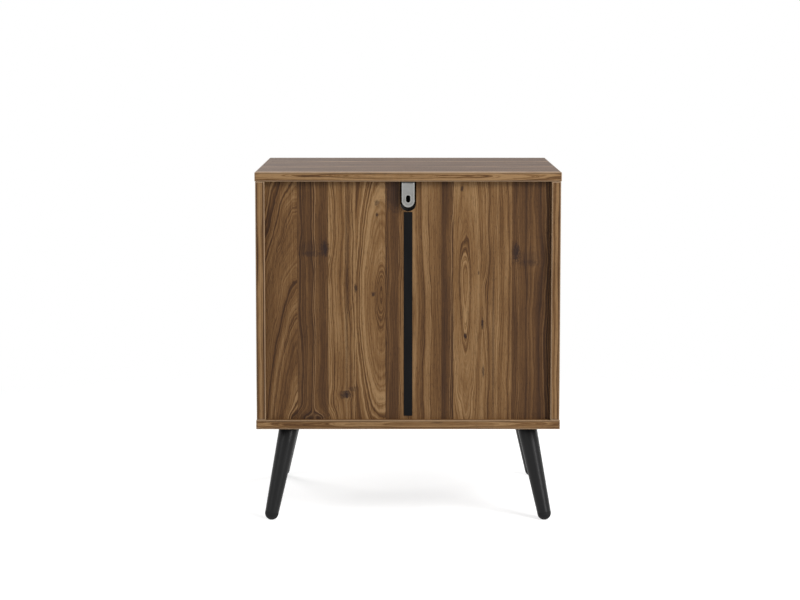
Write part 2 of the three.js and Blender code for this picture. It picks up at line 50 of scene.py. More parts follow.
def tint(red, green, blue):
    """A colour as it is seen on the cabinet, 0 to 255, as the linear colour of a shader."""
    shares = (value / 255 for value in (red, green, blue))
    return (*(s / 12.92 if s <= 0.04045 else ((s + 0.055) / 1.055) ** 2.4 for s in shares), 1)


class Field:
    """A value that changes over a surface, so that sums on it are written as sums."""

    def __init__(self, finish, socket):
        self.finish, self.socket = finish, socket

    def also(self, output):
        """Another output of the same node."""
        return Field(self.finish, self.socket.node.outputs[output])

    def step(self, operation, *values):
        return self.finish.node(
            "ShaderNodeMath", {"operation": operation}, dict(enumerate(values)))

    def __add__(self, other):
        return self.step("ADD", self, other)

    def __sub__(self, other):
        return self.step("SUBTRACT", self, other)

    def __rsub__(self, other):
        return self.step("SUBTRACT", other, self)

    def __mul__(self, other):
        return self.step("MULTIPLY", self, other)

    def __truediv__(self, other):
        return self.step("DIVIDE", self, other)

    def __pow__(self, other):
        return self.step("POWER", self, other)

    def __neg__(self):
        return self.step("MULTIPLY", self, -1)

    def __abs__(self):
        return self.step("ABSOLUTE", self)

    __radd__, __rmul__ = __add__, __mul__

    def least(self, other):
        return self.step("MINIMUM", self, other)

    def most(self, other):
        return self.step("MAXIMUM", self, other)

    def fading(self):
        """1 where the value is 0, and down to 0 as it grows."""
        return self.step("EXPONENT", -self)

    def rise(self, low, high):
        """0 up to low and 1 from high on, or the other way round where low is the higher."""
        return self.finish.node(
            "ShaderNodeMapRange", {"interpolation_type": "SMOOTHSTEP"},
            {"Value": self, "From Min": low, "From Max": high})

    def toward(self, direction):
        """How far a place lies in a direction."""
        return self.finish.node(
            "ShaderNodeVectorMath", {"operation": "DOT_PRODUCT"}, {0: self, 1: direction}, "Value")


class Finish:
    """The nodes of one material, or of the world, and the one way that they are added."""

    def __init__(self, name, world=False):
        self.owner = (bpy.data.worlds if world else bpy.data.materials).new(name)
        self.owner.use_nodes = True
        self.tree = self.owner.node_tree
        self.tree.nodes.clear()

    def node(self, kind, settings=(), sockets=(), output=0):
        """Adds a node, sets it, and then gives its sockets their values or links."""
        made = self.tree.nodes.new(kind)
        settings = dict(settings)
        stops = settings.pop("stops", ())
        for name, value in settings.items():
            setattr(made, name, value)
        if stops:
            blend, first, *others = stops
            ramp = made.color_ramp
            ramp.interpolation = blend
            ramp.elements.remove(ramp.elements[-1])
            ramp.elements[0].position, ramp.elements[0].color = first
            for at, colour in others:
                ramp.elements.new(at).color = colour
        for name, value in dict(sockets).items():
            if isinstance(value, Field):
                self.tree.links.new(value.socket, made.inputs[name])
            else:
                made.inputs[name].default_value = value
        return Field(self, made.outputs[output]) if made.outputs else None

    def place(self, middle=(0, 0, 0)):
        """Places on the piece in mm, counted from a middle in mm."""
        spot = self.node("ShaderNodeTexCoord", output="Object")
        spot = self.node("ShaderNodeVectorMath", {"operation": "SCALE"}, {0: spot, "Scale": 1000})
        return self.node(
            "ShaderNodeVectorMath", {"operation": "SUBTRACT"}, {0: spot, 1: tuple(middle)})

    def facing(self):
        """The way a face looks."""
        return self.node("ShaderNodeTexCoord", output="Normal")

    def parts(self, spot):
        """The three coordinates of a place."""
        x = self.node("ShaderNodeSeparateXYZ", (), {0: spot})
        return x, x.also("Y"), x.also("Z")

    def point(self, *parts):
        """A place made of three coordinates."""
        return self.node("ShaderNodeCombineXYZ", (), dict(enumerate(parts)))

    def scaled(self, spot, *scales):
        """A place with each coordinate scaled, which draws a pattern out where it is small."""
        return self.node("ShaderNodeVectorMath", {"operation": "MULTIPLY"}, {0: spot, 1: scales})

    def clouds(self, spot, scale=1, detail=2, roughness=0.5):
        """Soft random patches, from 0 to 1, a millimetre across at scale 1."""
        return self.node("ShaderNodeTexNoise", (), {
            "Vector": spot, "Scale": scale, "Detail": detail, "Roughness": roughness})

    def lines(self, along, scale, detail, roughness=0.5):
        """Random stripes, from 0 to 1, that follow one value."""
        return self.node("ShaderNodeTexNoise", {"noise_dimensions": "1D"}, {
            "W": along, "Scale": scale, "Detail": detail, "Roughness": roughness})

    def ramp(self, value, *stops, blend="LINEAR"):
        """Colours at stops of a value."""
        return self.node("ShaderNodeValToRGB", {"stops": (blend, *stops)}, {0: value})

    def mix(self, share, first, second):
        """The first colour where the share is 0, and the second where it is 1."""
        return self.node(
            "ShaderNodeMix", {"data_type": "RGBA"}, {0: share, 6: first, 7: second}, 2)

    def coat(self, colour, roughness, relief, depth, **rest):
        """Joins colour, roughness and relief, its depth in mm, into the finished surface."""
        sockets = {"Base Color": colour, "Roughness": roughness}
        sockets.update({name.replace("_", " "): value for name, value in rest.items()})
        sockets["Normal"] = self.node(
            "ShaderNodeBump", (), {"Distance": depth / 1000, "Height": relief}, "Normal")
        shader = self.node("ShaderNodeBsdfPrincipled", (), sockets)
        self.node("ShaderNodeOutputMaterial", (), {"Surface": shader})
        return self.owner


def extent(*names):
    """Lowest and highest corners, in mm, of some of the cabinet's boards."""
    corners = [corner * 1000 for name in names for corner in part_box(name)]
    return Vector(map(min, *corners)), Vector(map(max, *corners))


def walnut(name, boards, across, along, leaves, knots, batch, banded=True):
    """The walnut print of one board, its places in mm from the board's middle.

    Across has a 1 for the axis of the board's width and a 2 for that of its thickness, and along
    is the way the grain runs. A leaf is its start across the board, the middle and level of the
    rings that it was sliced through, how fast they close along it, and its lightness and
    redness. A knot is its place across and along, its half sizes, how far it pushes the grain
    aside, and its darkness. Each batch has other fine grain.
    """
    low, high = extent(*boards)
    finish = Finish(name)
    spot = finish.place((low + high) / 2)
    cross, run = spot.toward(across), spot.toward(along)
    if banded:
        # The bands on the two ends have their grain along the band.
        band_start, band_stretch = 70, 2
        wide, thin = (tuple(float(part == share) for part in across) for share in (1, 2))
        end = abs(finish.facing().toward(along)).rise(0.4, 0.6)
        cross = cross + (spot.toward(thin) * band_stretch + band_start - cross) * end
        run = run + (spot.toward(wide) - run) * end

    # The values of the leaves pass through the colours of two ramps, as shares of these.
    reach, width, length, fastest, sheets = 250, 400, 1000, 0.5, 7
    place = (cross + reach) / (2 * reach)
    starts = [max(0, (start - 1 + reach) / (2 * reach)) for start, *_ in leaves]
    rings = finish.node("ShaderNodeSeparateColor", (), {0: finish.ramp(place, *(
        (at, ((middle + width) / (2 * width), (level + length) / (2 * length), speed / fastest, 1))
        for at, (_, middle, level, speed, *_) in zip(starts, leaves)), blend="CONSTANT")})
    looks = finish.node("ShaderNodeSeparateColor", (), {0: finish.ramp(place, *(
        (at, (light, red, (index % sheets) / sheets, 1))
        for index, (at, (*_, light, red)) in enumerate(zip(starts, leaves))), blend="CONSTANT")})
    middle = rings * (2 * width) - width
    level = rings.also("Green") * (2 * length) - length
    speed = rings.also("Blue") * fastest
    light, red, sheet = looks, looks.also("Green"), looks.also("Blue") * 50 + batch

    # Each knot bends the grain round it, and stains it in blots.
    bent, stain = cross, 0
    blots = finish.clouds(finish.point(cross / 3, run / 4, batch), detail=4, roughness=0.7)
    for at, height, wide, tall, push, dark in knots:
        aside = (cross - at) / wide
        beyond = (run - height) / tall
        eye = (aside * aside + beyond * beyond).fading()
        bent = bent - aside * eye * (push * wide)
        stain = (eye * 2 + (blots - 0.5) * 2.6 - 0.55).rise(0, 1.2) * dark + stain

    # The ring that a place lies on, waved a little, as no tree is round.
    drift = finish.clouds(finish.point(cross / 45, run / 170, sheet), detail=2)
    shiver = finish.clouds(finish.point(cross / 9, run / 30, sheet), detail=2)
    off, fall = bent - middle, (run - level) * speed
    ring = ((off * off + fall * fall) ** 0.5 + (drift - 0.5) * (22 - speed * 50)
            + (shiver - 0.5) * 2.4 + sheet * 9)

    # The bands, lines, fibres and pores of the grain, and how light they leave each place.
    broad = finish.lines(ring, 0.09, 1)
    fine = finish.lines(ring, 0.6, 3, 0.62)
    lines = finish.lines(ring, 0.4, 1).rise(0.56, 0.68)
    bunch = finish.lines(ring, 0.055, 1).rise(0.4, 0.6)
    fibres = finish.clouds(finish.point(cross * 1.3, run * 0.02, sheet), detail=3, roughness=0.6)
    mood = finish.clouds(finish.point(cross * 0.03, run * 0.008, sheet), detail=1)
    pores = finish.clouds(finish.point(cross * 1.3, run * 0.12, sheet), detail=2).rise(0.56, 0.66)
    rim = abs(finish.facing().toward(across)).rise(1.8, 1.2) if banded else 0
    value = (((broad - 0.5) * (speed * 1.5 + 0.66 + rim * 0.6)
              + (fine - 0.5) * (bunch * 1.1 + 0.45) + (fibres - 0.5) * 0.75
              + (mood - 0.5) * 0.4 - lines * (bunch * 0.2 + 0.06) + 0.02)
             * (light * 0.5 + 0.89 + rim * 0.5)
             + 0.03 + light)

    golden = finish.ramp(value, (0.05, tint(58, 36, 19)), (0.35, tint(92, 63, 35)),
                         (0.62, tint(120, 88, 54)), (0.95, tint(150, 119, 82)))
    ruddy = finish.ramp(value, (0.05, tint(46, 29, 18)), (0.35, tint(72, 48, 28)),
                        (0.62, tint(92, 64, 37)), (0.95, tint(117, 87, 59)))
    colour = finish.mix(red, golden, ruddy)
    colour = finish.mix(stain * (1.7 - fine * 1.4), colour, tint(42, 28, 23))
    colour = finish.mix(pores * (0.62 - value * 0.3), colour, tint(44, 28, 18))

    relief = fine * 0.4 + fibres * 0.4 - pores
    if banded:
        # A painted highlight along the arrises, with the dark glue line of the band just inside
        # them.
        x, y, z = (half - abs(part) for half, part in zip((high - low) / 2, finish.parts(spot)))
        edge = (x.least(y)).most(x.most(y).least(z))
        # Painted highlight: the arrises are lighter, as where their rounding catches the light.
        colour = finish.mix(edge.rise(2.2, 0.6) * 0.75, colour, tint(166, 140, 112))
        seam = edge.rise(1.2, 1.6) * edge.rise(2.6, 2)
        colour = finish.mix(seam * 0.6, colour, tint(60, 43, 32))
        relief = relief - seam * 2
    else:
        # Bare fibreboard on the edges.
        raw = abs(finish.facing().toward((0, 1, 0))).rise(0.8, 0.4)
        colour = finish.mix(raw, colour, tint(176, 152, 124))
    return finish.coat(colour, (1 - value) * 0.14 + 0.42, relief, 0.03,
                       Specular_IOR_Level=0.16)


def face_with(material, *names, arris=0):
    """Gives boards their finish and, where it is wanted, a rounding of their arrises in mm."""
    for name in names:
        nodes[name].material_slots[0].material = material
        if arris:
            nodes[name].modifiers.new("joined", "WELD").merge_threshold = 0.00001
            eased = nodes[name].modifiers.new("eased", "BEVEL")
            eased.width, eased.segments = arris / 1000, 2
            eased.limit_method, eased.angle_limit = "ANGLE", math.radians(30)
            eased.use_clamp_overlap = True


def turned_over(leaves, darker=0):
    """The same leaves with their rings closing the other way."""
    return tuple((start, middle, -level, speed, light - darker, red)
                 for start, middle, level, speed, light, red in leaves)


board_arris = 0.5
top_leaves = (
    (-250, -300, 0, 0.03, 0.37, 0.5), (-170, -230, 60, 0.02, 0.32, 0.7),
    (-112, -84, -60, 0.08, 0.43, 0.35), (-56, 10, 0, 0.02, 0.36, 0.5),
    (-8, 60, 0, 0.03, 0.3, 0.7), (44, 70, 40, 0.08, 0.42, 0.35),
    (98, 200, 0, 0.02, 0.33, 0.5), (150, 262, 20, 0.03, 0.3, 0.4),
    (208, 228, 30, 0.06, 0.68, 0.15),
)
top_knots = ((60, -90, 5, 9, 0.7, 0.6), (236, 63, 3, 12, 0.7, 0.5))
bottom_knots = ((232, -48, 3, 14, 0.7, 0.5),)
for place, leaves, knots, batch in (
        ("top", top_leaves, top_knots, 1),
        ("bottom", turned_over(top_leaves, 0.1), bottom_knots, 4)):
    board = f"{place}_panel"
    face_with(walnut(f"walnut_{place}", [board], (0, 1, 2), (1, 0, 0), leaves, knots, batch),
              board, arris=board_arris)


# Side boards
# The same faced board, with the print running upwards. Each stands on the bottom board, set in
# 1 mm from its ends, and takes the back in a groove and the runners on its inner face.

side_leaves = (
    (-250, -300, 0, 0.02, 0.4, 0.55), (-196, -170, 120, 0.12, 0.6, 0.15),
    (-138, -60, 0, 0.02, 0.34, 0.75), (-92, -30, 0, 0.02, 0.56, 0.25),
    (-40, -12, -90, 0.14, 0.62, 0.12), (18, 90, 0, 0.02, 0.46, 0.45),
    (64, 130, 0, 0.03, 0.32, 0.8), (112, 150, 160, 0.13, 0.58, 0.15),
    (168, 300, 0, 0.015, 0.46, 0.35), (206, 320, 0, 0.015, 0.64, 0.3),
)
side_knots = ((-120, -70, 8, 15, 0.8, 0.8), (40, 96, 4, 9, 0.7, 0.6), (84, -130, 7, 12, 0.8, 0.7))
for side, turn, batch in (("left", 1, 13), ("right", -1, 9)):
    board = f"{side}_side_panel"
    leaves = side_leaves if turn > 0 else turned_over(side_leaves)
    knots = tuple((at, turn * height, *rest) for at, height, *rest in side_knots)
    face_with(walnut(f"walnut_{side}_side", [board], (2, 1, 0), (0, 0, 1), leaves, knots, batch),
              board, arris=board_arris)


# Back panel
# Two halves of thin fibreboard with the walnut print outwards, its leaves about 50 mm wide. They
# slide into grooves in the boards, and meet in the middle under the strip.

back_leaves = (
    (-250, -330, 0, 0.02, 0.37, 0.8), (-170, -60, 0, 0.015, 0.55, 0.15),
    (-123, -94, 5, 0.09, 0.59, 0.1), (-73.8, -170, 0, 0.02, 0.32, 0.75),
    (-54.4, 30, 0, 0.02, 0.44, 0.4), (-40.5, 60, 0, 0.02, 0.53, 0.25),
    (6, 80, 0, 0.02, 0.5, 0.25), (15.5, -60, 0, 0.02, 0.275, 0.8),
    (37.2, 44, 10, 0.17, 0.585, 0.12), (85, 10, 0, 0.02, 0.59, 0.12),
    (131, 250, 0, 0.02, 0.365, 0.75), (181.1, 172, -350, 0.17, 0.47, 0.35),
)
back_knots = (
    (136.5, 86, 8, 16, 0.7, 0.9), (162, 86, 20, 14, 0.2, 0.35), (157, 77, 24, 6, 0.1, 0.38),
    (-177, 80, 8, 18, 0.7, 0.9), (-198, 72, 22, 14, 0.2, 0.3), (-197, 62, 25, 7, 0.1, 0.38),
    (102.7, -156, 12, 8, 0.8, 0.85), (91, -146, 9, 5, 0.4, 0.45),
    (101, 20, 3, 260, 0, 0.4), (-140, -60, 2.6, 200, 0, 0.4), (157, -196, 26, 15, 1.4, 0.5),
    # The knot at 22 across and 173 along is a painted shadow: a dark patch beside the wall bracket.
    (50.9, 161, 5, 6, 0.6, 0.6), (51, 142, 3, 4, 0.7, 0.8), (22, 173, 17, 34, 0, 0.7),
    (86, 21, 3, 8, 0.7, 0.9), (57, 11, 3.5, 5, 0.8, 0.8), (-115.5, 46, 2, 4, 0.5, 0.7),
    (-88, 184, 3, 6, 0.5, 0.7), (-122, -38, 2.2, 12, 0.3, 0.9), (-94, -58, 3, 7, 0.6, 0.8),
    (-123.6, -117, 2.2, 12, 0.3, 0.8),
)
back_halves = ["back_panel_left", "back_panel_right"]
face_with(walnut("walnut_back", back_halves, (1, 0, 0), (0, 0, 1), back_leaves, back_knots,
                 20, banded=False), *back_halves)


# Joining strip
# A flat extruded strip of black plastic with eased edges, pressed over the joint between the two
# halves of the back from just under the bracket's notch down to near the bottom board.

strip = Finish("black_strip")
spot = strip.place()
drawn = strip.clouds(strip.scaled(spot, 2.2, 1, 0.01), detail=3)
dust = strip.clouds(strip.scaled(spot, 0.1, 1, 0.02), detail=3)
face_with(strip.coat(
    strip.ramp(drawn * 0.6 + dust * 0.4, (0.3, tint(7, 7, 8)), (0.7, tint(18, 18, 19))),
    dust * 0.2 + 0.42, drawn, 0.02, Specular_IOR_Level=0.08), "back_joining_strip")


# Wall bracket
# A strap of zinc-plated steel sheet, pressed to a bend under the top board. Its hanging end is
# half round, with a raised rim and a raised collar round the upright slot for the wall screw.

WELD = 0.001                      # points nearer than this, in mm, are one
SOFT_EDGE = math.radians(35)      # faces that turn by less look rounded into each other


def only(kind, found):
    """The vertices, edges or faces among what a mesh operator gives back."""
    return [part for part in found if isinstance(part, kind)]


def shaped(name, shape, material, body, slot, *stands_for):
    """Makes a shape, drawn in mm, into a piece that rides on a body of the cabinet."""
    bmesh.ops.remove_doubles(shape, verts=shape.verts, dist=WELD)
    bmesh.ops.recalc_face_normals(shape, faces=shape.faces)
    bmesh.ops.scale(shape, vec=(0.001, 0.001, 0.001), verts=shape.verts)
    for face in shape.faces:
        face.smooth = True
    for edge in shape.edges:
        edge.smooth = edge.calc_face_angle(0) < SOFT_EDGE
    mesh = bpy.data.meshes.new(name)
    shape.to_mesh(mesh)
    shape.free()
    mesh.materials.append(material)
    piece = bpy.data.objects.new(name, mesh)
    bpy.context.scene.collection.objects.link(piece)
    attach(piece, body)
    if stands_for:
        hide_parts(*stands_for)


def turned(shape, profile, place=Matrix.Identity(4), steps=32):
    """Turns a profile of (radius, height) points round Z, and then puts it in its place."""
    before = set(shape.verts)
    points = [shape.verts.new((radius, 0, height)) for radius, height in profile]
    edges = [shape.edges.new(pair) for pair in zip(points, points[1:])]
    bmesh.ops.spin(shape, geom=points + edges, cent=(0, 0, 0), axis=(0, 0, 1),
                   angle=2 * math.pi, steps=steps, use_merge=True)
    bmesh.ops.remove_doubles(
        shape, verts=[v for v in shape.verts if v not in before], dist=WELD)
    made = [v for v in shape.verts if v not in before]
    bmesh.ops.transform(shape, matrix=place, verts=made)
    return made


def screw(shape, place, head, height, shank, length, steps=16):
    """A pan-head screw with a cross recess, its head on +Z from 0 and its shank below."""
    before = set(shape.faces)
    inner, outer = head * 0.2, head * 0.5
    made = turned(shape, [
        (0, height), (inner, height), (head * 0.62, height * 0.97), (head * 0.88, height * 0.78),
        (head, height * 0.4), (head, 0), (shank, 0), (shank, shank - length), (0, -length)],
        steps=steps)
    turn = 2 * math.pi / steps
    recess = []
    for face in (f for f in shape.faces if f not in before):
        x, y, z = face.calc_center_median()
        sector = int(math.atan2(y, x) % (2 * math.pi) / turn)
        reach = math.hypot(x, y)
        crossed = reach < inner or reach < outer and not sector % (steps // 4)
        if z > height * 0.9 and crossed:
            recess.append(face)
    sunk = bmesh.ops.extrude_face_region(shape, geom=recess)["geom"]
    sunk = only(bmesh.types.BMVert, sunk)
    bmesh.ops.delete(shape, geom=recess, context="FACES")
    bmesh.ops.translate(shape, vec=(0, 0, -height * 0.6), verts=sunk)
    bmesh.ops.scale(shape, vec=(0.7, 0.7, 1), verts=sunk)
    bmesh.ops.transform(
        shape, matrix=place, verts=[vert for vert in made if vert.is_valid] + sunk)


def aimed(x, y, z, direction):
    """A place whose Z looks in a direction."""
    turn = Vector((0, 0, 1)).rotation_difference(Vector(direction)).to_matrix().to_4x4()
    return Matrix.Translation((x, y, z)) @ turn


joint_gap = 0.3                   # the room, in mm, between pieces that are fixed to each other
rear_plane, top_underside = extent("top_panel")[1].y, extent("top_panel")[0].z
strap_half, strap_sheet, strap_bend = 10.5, 2, 4
strap_face, strap_top, strap_end, strap_rise, strap_reach = -joint_gap, -joint_gap, -42, 50, 40
slot_half, slot_middle, slot_rise = 3.6, -28.3, 4.8
rim_pressing = ((0.3, 0), (2.2, 0), (2.7, -0.5))
collar_pressing = ((-0.4, 0), (-1.9, 0), (-2.4, -0.5))
circle_sides = 48
strap, field_edges = bmesh.new(), []
for radius, lowest, rise, pressing in (
        (strap_half, strap_end, strap_rise, rim_pressing),
        (slot_half, slot_middle - slot_rise / 2 - slot_half, slot_rise, collar_pressing)):
    edge = bmesh.ops.create_circle(strap, segments=circle_sides, radius=radius)["verts"]
    bmesh.ops.rotate(strap, verts=edge, matrix=Matrix.Rotation(math.pi / 2, 3, "X")
                     @ Matrix.Rotation(math.pi / circle_sides, 3, "Z"))
    bmesh.ops.translate(strap, vec=(0, strap_face, 0), verts=edge)
    ring, rings = edge, list(edge)
    for inset, level in pressing:
        around = [e for e in strap.edges if e.verts[0] in ring and e.verts[1] in ring]
        ring = only(bmesh.types.BMVert, bmesh.ops.extrude_edge_only(strap, edges=around)["geom"])
        share = (radius - inset) / math.hypot(ring[0].co.x, ring[0].co.z)
        bmesh.ops.scale(strap, vec=(share, 0, share), verts=ring)
        bmesh.ops.translate(strap, vec=(0, level, 0), verts=ring)
        rings += ring
    field_edges += [e for e in strap.edges if e.verts[0] in ring and e.verts[1] in ring]
    bmesh.ops.translate(strap, vec=(0, 0, rise), verts=[v for v in rings if v.co.z > 0])
    bmesh.ops.translate(strap, vec=(0, 0, lowest + radius), verts=rings)
bmesh.ops.triangle_fill(strap, use_beauty=True, edges=field_edges)
cut = bmesh.ops.bisect_plane(
    strap, geom=strap.verts[:] + strap.edges[:] + strap.faces[:],
    plane_co=(0, 0, strap_top - strap_bend), plane_no=(0, 0, 1), clear_outer=True)["geom_cut"]
bend = bmesh.ops.spin(strap, geom=cut, cent=(0, -strap_bend, strap_top - strap_bend),
                      axis=(1, 0, 0), angle=math.pi / 2, steps=6)["geom_last"]
for vert in only(bmesh.types.BMVert, bend):
    vert.co.z = strap_top
arm = bmesh.ops.extrude_edge_only(strap, edges=only(bmesh.types.BMEdge, bend))["geom"]
bmesh.ops.translate(strap, vec=(0, strap_bend - strap_reach, 0),
                    verts=only(bmesh.types.BMVert, arm))
bmesh.ops.remove_doubles(strap, verts=strap.verts, dist=WELD)
bmesh.ops.recalc_face_normals(strap, faces=strap.faces)
if sum(face.normal.y * face.calc_area() for face in strap.faces) < 0:
    bmesh.ops.reverse_faces(strap, faces=strap.faces)
bmesh.ops.solidify(strap, geom=strap.faces, thickness=strap_sheet)
bmesh.ops.translate(strap, vec=(0, rear_plane, top_underside), verts=strap.verts)

zinc = Finish("zinc_steel")
spot = zinc.place()
rolled = zinc.clouds(zinc.scaled(spot, 1.6, 1.6, 0.05), detail=3)
bloom = zinc.clouds(spot, 0.22, 3)
speck = zinc.clouds(spot, 2, 1).rise(0.66, 0.74)
plated = zinc.ramp(rolled * 0.35 + bloom * 0.65 - speck * 0.1, (0.3, tint(103, 103, 101)),
                   (0.7, tint(122, 122, 120)))
# Painted highlight: the raised rim and collar are lighter, as where they catch the light.
painted_rim_highlight = spot.toward((0, 1, 0)).rise(rear_plane - 0.7, rear_plane - 0.35)
zinc_steel = zinc.coat(
    zinc.mix(painted_rim_highlight * 0.55, plated, tint(172, 172, 169)),
    bloom * 0.15 + 0.36 + speck * 0.1, rolled + speck, 0.01, Metallic=0.8)
shaped("wall_bracket_strap", strap, zinc_steel, "root", "zinc_steel", "wall_bracket")

head_height = 2.4
for place in ("front", "rear"):
    low, high = extent(f"bracket_screw_{place}")
    fixing = bmesh.new()
    screw(fixing, aimed(0, (low.y + high.y) / 2, low.z + head_height, (0, 0, -1)),
          head=4.2, height=head_height, shank=1.9, length=13.6)
    shaped(f"bracket_screw_{place}_cross", fixing, zinc_steel, "root", "zinc_steel",
           f"bracket_screw_{place}")


# Leg plates
# Powder-coated steel plates, each with a wedge-shaped boss that turns it square to the splayed
# leg, and four screws into the bottom board. The leg's hanger bolt screws into the boss.

powder = Finish("black_metal")
spot = powder.place()
pebble = powder.clouds(spot, 1.8, 2)
touch = powder.clouds(spot, 0.03, 3)
black_metal = powder.coat(
    powder.ramp(pebble * 0.5 + touch * 0.5, (0.35, tint(21, 21, 22)), (0.65, tint(36, 36, 38))),
    touch * 0.2 + 0.32, pebble, 0.06, Metallic=0.15, Specular_IOR_Level=0.35)

corners = [(end, side) for end in ("front", "rear") for side in ("left", "right")]
plate_size, plate_depth, plate_hole_inset = 56, 2.5, 8
hole = plate_size / 2 - plate_hole_inset
for end, side in corners:
    corner = f"{end}_{side}"
    face_with(black_metal, f"leg_plate_{corner}")
    face_with(zinc_steel, f"hanger_bolt_{corner}")
    low, high = extent(f"leg_plate_{corner}")
    middle = (low + high) / 2
    fixings = bmesh.new()
    for across in (-hole, hole):
        for deep in (-hole, hole):
            screw(fixings, aimed(middle.x + across, middle.y + deep, high.z - plate_depth,
                                 (0, 0, -1)), head=3.9, height=2.1, shank=1.9, length=14)
    shaped(f"leg_plate_screws_{corner}", fixings, black_metal, "root", "black_metal")


# Legs
# Turned beech, tapered from 32 to 23 mm, sprayed with satin black lacquer. Each leans out to its
# own corner and is drawn up to its plate by the hanger bolt.

lacquer = Finish("satin_black")
spot = lacquer.place()
grain = lacquer.clouds(lacquer.scaled(spot, 0.9, 0.9, 0.03), detail=3)
spray = lacquer.clouds(spot, 0.9, 2)
worn = lacquer.clouds(lacquer.scaled(spot, 0.07, 0.07, 0.05), detail=3)
satin_black = lacquer.coat(
    lacquer.ramp(grain * 0.5 + worn * 0.5, (0.3, tint(6, 6, 7)), (0.7, tint(14, 14, 15))),
    worn * 0.12 + spray * 0.05 + 0.28, grain * 0.7 + spray * 0.3, 0.02, Specular_IOR_Level=0.24)

leg_top_radius, foot_radius, foot_lift, foot_collar = 16, 11.4, 10.8, 1.5
leg_inset, foot_inset_across, foot_inset_deep, leg_height = 52.5, 23.2, 30.5, 157
board_low, board_high = extent("bottom_panel")
leg_frames = {}
for end, side in corners:
    turn_x, turn_y = (1 if side == "right" else -1), (1 if end == "rear" else -1)
    edge_x = board_high.x if turn_x > 0 else board_low.x
    edge_y = board_high.y if turn_y > 0 else board_low.y
    top = Vector((edge_x - turn_x * leg_inset, edge_y - turn_y * leg_inset, leg_height))
    foot = Vector((edge_x - turn_x * foot_inset_across, edge_y - turn_y * foot_inset_deep,
                   foot_lift))
    axis = top - foot
    lean = math.hypot(axis.x, axis.y) / axis.length
    drop = (plate_depth + 2 * joint_gap + leg_top_radius * lean) * axis.length / axis.z
    leg_frames[f"{end}_{side}"] = (aimed(*foot, axis), axis.length - drop)

bore, leg_base, foot_bevel, top_round, taper_steps = 4.3, foot_collar + 0.05, 0.15, 1.4, 6
for corner, (place, reach) in leg_frames.items():
    taper_length = reach - leg_base - foot_bevel - top_round
    taper = [(foot_radius + (leg_top_radius - foot_radius) * k / taper_steps,
              leg_base + foot_bevel + taper_length * k / taper_steps)
             for k in range(taper_steps + 1)]
    leg = bmesh.new()
    turned(leg, [(bore, leg_base), (foot_radius - foot_bevel, leg_base), *taper,
                 (leg_top_radius - 0.4, reach - 0.4), (leg_top_radius - top_round, reach),
                 (bore, reach), (bore, leg_base)], place, 64)
    shaped(f"leg_{corner}_turned", leg, satin_black, "root", "satin_black", f"leg_{corner}")


# Foot caps
# Moulded black rubber, half round under the leg's end and flat where they stand, each with a
# spigot pushed up into the leg.

rubber = Finish("foot_rubber")
spot = rubber.place()
skin = rubber.clouds(spot, 1.6, 3)
scuff = rubber.clouds(spot, 0.25, 3) * spot.toward((0, 0, 1)).rise(9, 0)
foot_rubber = rubber.coat(
    rubber.ramp(skin * 0.4 + scuff * 0.8, (0.2, tint(13, 13, 14)), (0.8, tint(36, 35, 34))),
    skin * 0.2 + 0.62, skin, 0.05, Specular_IOR_Level=0.25)

spigot, spigot_top, spigot_bevel, collar_bevel, arc_steps = 4, foot_collar + 10, 1, 0.1, 12
arc = [(foot_radius * math.cos(angle), foot_radius * math.sin(angle))
       for angle in (math.radians(-90 + 90 / arc_steps * k) for k in range(arc_steps + 1))]
for corner, (place, _) in leg_frames.items():
    cap = bmesh.new()
    turned(cap, [(0, -foot_radius), *arc[1:], (foot_radius, foot_collar - collar_bevel),
                 (foot_radius - collar_bevel, foot_collar), (spigot, foot_collar),
                 (spigot, spigot_top - spigot_bevel), (spigot - spigot_bevel, spigot_top),
                 (0, spigot_top)], place, 64)
    cut = bmesh.ops.bisect_plane(
        cap, geom=cap.verts[:] + cap.edges[:] + cap.faces[:], plane_co=(0, 0, 0),
        plane_no=(0, 0, -1), clear_outer=True)["geom_cut"]
    bmesh.ops.holes_fill(cap, edges=only(bmesh.types.BMEdge, cut))
    shaped(f"foot_cap_{corner}_moulded", cap, foot_rubber, "root", "foot_rubber",
           f"foot_cap_{corner}")


# Drawer runners
# Roller runners of bent steel sheet with a white epoxy coat. A channel is screwed to each side
# board and a rail to each side of a drawer, and a nylon wheel turns on a riveted pin of each.

epoxy = Finish("enamelled_steel")
spot = epoxy.place()
peel = epoxy.clouds(spot, 0.7, 2)
rub = epoxy.clouds(epoxy.scaled(spot, 0.8, 0.02, 0.8), detail=3)
enamelled_steel = epoxy.coat(
    epoxy.ramp(peel * 0.3 + rub * 0.7, (0.3, tint(208, 208, 205)), (0.65, tint(228, 228, 226))),
    rub * 0.2 + 0.26, peel, 0.04)
nylon = Finish("nylon")
cast = nylon.clouds(nylon.place(), 0.5, 3)
nylon_white = nylon.coat(
    nylon.ramp(cast, (0.3, tint(216, 213, 202)), (0.7, tint(233, 231, 223))),
    cast * 0.2 + 0.36, cast, 0.03, Subsurface_Weight=0.1)


def outer_face(name, turn):
    """How far along X the outer face of a piece lies, on the left, -1, or on the right, 1."""
    low, high = extent(name)
    return high.x if turn > 0 else low.x


